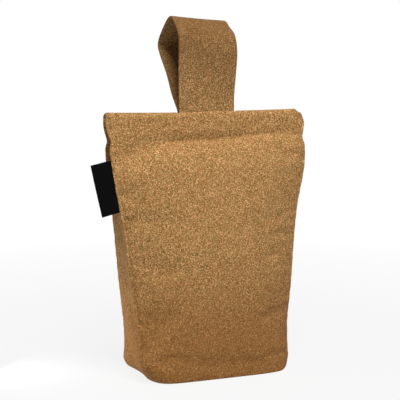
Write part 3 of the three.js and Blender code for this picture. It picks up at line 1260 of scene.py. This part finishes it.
@dataclass
class SideTab:
    """The woven tab, folded double, in the left front seam.

    It is one ribbon that goes out, turns over at the outer edge and comes back.
    All sizes are in metres, and its upright line follows the bag's seam.
    """

    bag: FilledBag
    below_top: float = 70 * MM
    seam_span: float = 50 * MM
    behind_seam: float = 1.7 * MM
    seat: float = 6 * MM
    stand_out_top: float = 20 * MM
    stand_out_foot: float = 18.3 * MM
    over_top: float = 0.6 * MM
    over_foot: float = 0.7 * MM
    droop: float = 1.3 * MM
    layer: float = 0.5 * MM
    fold: float = 0.36 * MM
    fold_swell: float = 0.14 * MM
    bow: float = 0.7 * MM
    fold_curve: float = 6.0
    edge_round: float = 0.12 * MM
    smooth_angle: float = 50.0
    flat_steps: int = 14
    turn_steps: int = 8
    along_steps: int = 40
    name: str = "side_tab_ribbon"

    def frame_lines(self) -> tuple[Vector, Vector, Vector, Vector]:
        """The tab's middle and its three directions.

        Returns:
            The middle, the way out of the seam, the way through the tab and the way up the seam.
        """
        ends = []
        for step in (-0.5, 0.5):
            z = self.bag.height - self.below_top + step * self.seam_span
            y = self.behind_seam - self.bag.seam_depth(z, self.bag.seam_front)
            ends.append(Vector((-self.bag.half_width(z, -1), y, z)))
        along = (ends[1] - ends[0]).normalized()
        outwards = (Vector((-1, 0, 0)) + along * along.x).normalized()
        return (ends[0] + ends[1]) / 2, outwards, along.cross(outwards), along

    def ribbon_section(self) -> list:
        """The ribbon's middle line from its sewn end, round the fold and back.

        Returns:
            Pairs of share of the way out and distance through the tab.
        """
        section = []
        for i in range(self.flat_steps):
            share = i / self.flat_steps
            section.append((share, -self.fold - self.fold_swell * share**self.fold_curve))
        turn = self.fold + self.fold_swell
        for i in range(self.turn_steps + 1):
            angle = math.pi * i / self.turn_steps
            section.append((1.0 + turn * math.sin(angle) / self.stand_out_top, -turn * math.cos(angle)))
        return section + [(share, -through) for share, through in section[: self.flat_steps][::-1]]

    def build(self) -> bpy.types.Object:
        """Model the tab and dress it.

        Returns:
            The finished piece.
        """
        middle, outwards, through, along = self.frame_lines()
        section = self.ribbon_section()
        points = []
        for j in range(self.along_steps + 1):
            way = j / self.along_steps
            reach = self.stand_out_foot + (self.stand_out_top - self.stand_out_foot) * way
            reach -= self.fold + self.fold_swell + self.layer / 2
            up = -self.seam_span / 2 - self.over_foot
            up += (self.seam_span + self.over_foot + self.over_top) * way
            for share, depth in section:
                out = -self.seat + (reach + self.seat) * share
                bowed = self.bow * max(share, 0.0) ** 2 * math.sin(math.pi * way)
                droop = self.droop * max(out, 0.0) / reach
                points.append(middle + outwards * out + through * (depth - bowed) + along * (up - droop))
        piece = grid_panel(len(section) - 1, self.along_steps, points)
        piece.name = self.name
        piece.data.name = self.name
        apply_modifier(piece, "SOLIDIFY", thickness=self.layer, offset=0.0)
        apply_modifier(piece, "BEVEL", width=self.edge_round, segments=2)
        select_only(piece)
        bpy.ops.object.shade_smooth_by_angle(angle=math.radians(self.smooth_angle))
        lay_weave(piece)
        piece.data.materials.clear()
        piece.data.materials.append(SATIN.build())
        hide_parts("side_tab")
        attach(piece, ROOT)
        return piece


def seen_directly(tree: bpy.types.NodeTree) -> bpy.types.NodeSocket:
    """1 for rays from the eye, and for mirrored and refracted ones, and 0 for the light.

    Args:
        tree: The node tree to add the nodes to.

    Returns:
        The share's output.
    """
    ray = tree.nodes.new("ShaderNodeLightPath")
    share = ray.outputs["Is Camera Ray"]
    for name in ("Is Glossy Ray", "Is Transmission Ray"):
        either = tree.nodes.new("ShaderNodeMath")
        either.operation = "MAXIMUM"
        tree.links.new(share, either.inputs[0])
        tree.links.new(ray.outputs[name], either.inputs[1])
        share = either.outputs[0]
    return share


@dataclass
class Studio:
    """The pale floor, the soft lamps and the camera at the photograph's place."""

    azimuth: float = -22.0
    pitch: float = 6.74
    lens: float = 99.0
    eye_right: float = 6 * MM
    eye_back: float = 1105 * MM
    eye_height: float = 307 * MM
    floor_size: float = 6.0
    floor_drop: float = 0.0002
    floor_colour: tuple[float, float, float] = (0.55, 0.55, 0.55)
    floor_white: float = 0.86
    shadow_reach: tuple[float, float] = (0.25, 0.9)
    room_light: float = 0.10

    def build(self) -> None:
        """Make everything that isn't part of the object."""
        self.set_world()
        self.lay_floor()
        self.hang_lamps()
        self.place_camera()

    def set_world(self) -> None:
        """Light the scene evenly, with a white ground for what looks past the object."""
        world = bpy.data.worlds.new("soft_room")
        bpy.context.scene.world = world
        world.use_nodes = True
        tree = world.node_tree
        light = tree.nodes["Background"]
        light.inputs["Color"].default_value = (1.0, 1.0, 1.0, 1.0)
        light.inputs["Strength"].default_value = self.room_light
        white = tree.nodes.new("ShaderNodeBackground")
        white.inputs["Color"].default_value = (1.0, 1.0, 1.0, 1.0)
        white.inputs["Strength"].default_value = 1.0
        mix = tree.nodes.new("ShaderNodeMixShader")
        tree.links.new(seen_directly(tree), mix.inputs[0])
        tree.links.new(light.outputs[0], mix.inputs[1])
        tree.links.new(white.outputs[0], mix.inputs[2])
        tree.links.new(mix.outputs[0], tree.nodes["World Output"].inputs["Surface"])

    def lay_floor(self) -> None:
        """Lay the pale floor under the bag, white to the eye but for a soft shadow."""
        bpy.ops.object.select_all(action="DESELECT")
        bpy.ops.mesh.primitive_plane_add(size=self.floor_size, location=(0, 0, -self.floor_drop))
        floor = bpy.context.object
        floor.name = "studio_floor"
        board = NodeBoard("pale_floor")
        board.shader.inputs["Base Color"].default_value = (*self.floor_colour, 1.0)
        board.shader.inputs["Roughness"].default_value = 0.9
        board.shader.inputs["Specular IOR Level"].default_value = 0.1
        place = board.add("ShaderNodeTexCoord").outputs["Object"]
        reach = board.add("ShaderNodeVectorMath")
        reach.operation = "LENGTH"
        board.link(place, reach.inputs[0])
        near, far = self.shadow_reach
        glow = board.add("ShaderNodeMapRange")
        board.link(reach.outputs["Value"], glow.inputs[0])
        glow.inputs[1].default_value = near
        glow.inputs[2].default_value = far
        glow.inputs[3].default_value = self.floor_white
        glow.inputs[4].default_value = 1.0
        share = board.value("MULTIPLY", glow.outputs[0], seen_directly(board.tree))
        white = board.add("ShaderNodeEmission")
        white.inputs["Strength"].default_value = 1.0
        mix = board.add("ShaderNodeMixShader")
        board.link(share, mix.inputs[0])
        board.link(board.shader.outputs[0], mix.inputs[1])
        board.link(white.outputs[0], mix.inputs[2])
        board.link(mix.outputs[0], board.tree.nodes["Material Output"].inputs["Surface"])
        floor.data.materials.append(board.material)

    def hang_lamps(self) -> None:
        """Hang a soft lamp over the front, a weak one before it and a small one low at the left."""
        for lamp_size, place, aim, power, name in (
            (0.7, (-0.10, -0.80, 1.60), (0, 0, 0.17), 29.0, "key_lamp"),
            (0.9, (-0.10, -1.60, 0.60), (0, 0, 0.20), 3.6, "front_lamp"),
            (0.05, (-0.20, 0.07, 0.035), (-0.08, 0, 0.02), 0.13, "left_lamp"),
        ):
            data = bpy.data.lights.new(name, "AREA")
            data.shape = "DISK"
            data.size = lamp_size
            data.energy = power
            lamp = bpy.data.objects.new(name, data)
            bpy.context.scene.collection.objects.link(lamp)
            lamp.location = place
            lamp.visible_camera = False
            way = Vector(aim) - lamp.location
            lamp.rotation_euler = way.to_track_quat("-Z", "Y").to_euler()

    def place_camera(self) -> None:
        """Stand the camera where the photograph was taken from."""
        turn = math.radians(self.azimuth)
        right = Vector((math.cos(turn), math.sin(turn), 0))
        ahead = Vector((-math.sin(turn), math.cos(turn), 0))
        data = bpy.data.cameras.new("eye")
        data.lens = self.lens
        data.sensor_width = 36.0
        camera = bpy.data.objects.new("eye", data)
        bpy.context.scene.collection.objects.link(camera)
        camera.location = -(right * self.eye_right + ahead * self.eye_back)
        camera.location.z = self.eye_height
        camera.rotation_euler = (math.radians(90 - self.pitch), 0.0, turn)
        bpy.context.scene.camera = camera


def main() -> None:
    """Build the studio and every piece, and report each one."""
    logging.basicConfig(level=logging.INFO, format="%(message)s")
    bpy.context.scene.view_settings.view_transform = "Standard"
    Studio().build()
    bag = FilledBag()
    for maker in (bag, StrapLoop(), SideTab(bag)):
        piece = maker.build()
        LOG.info("%s: %d faces", piece.name, len(piece.data.polygons))


if __name__ == "__main__":
    main()
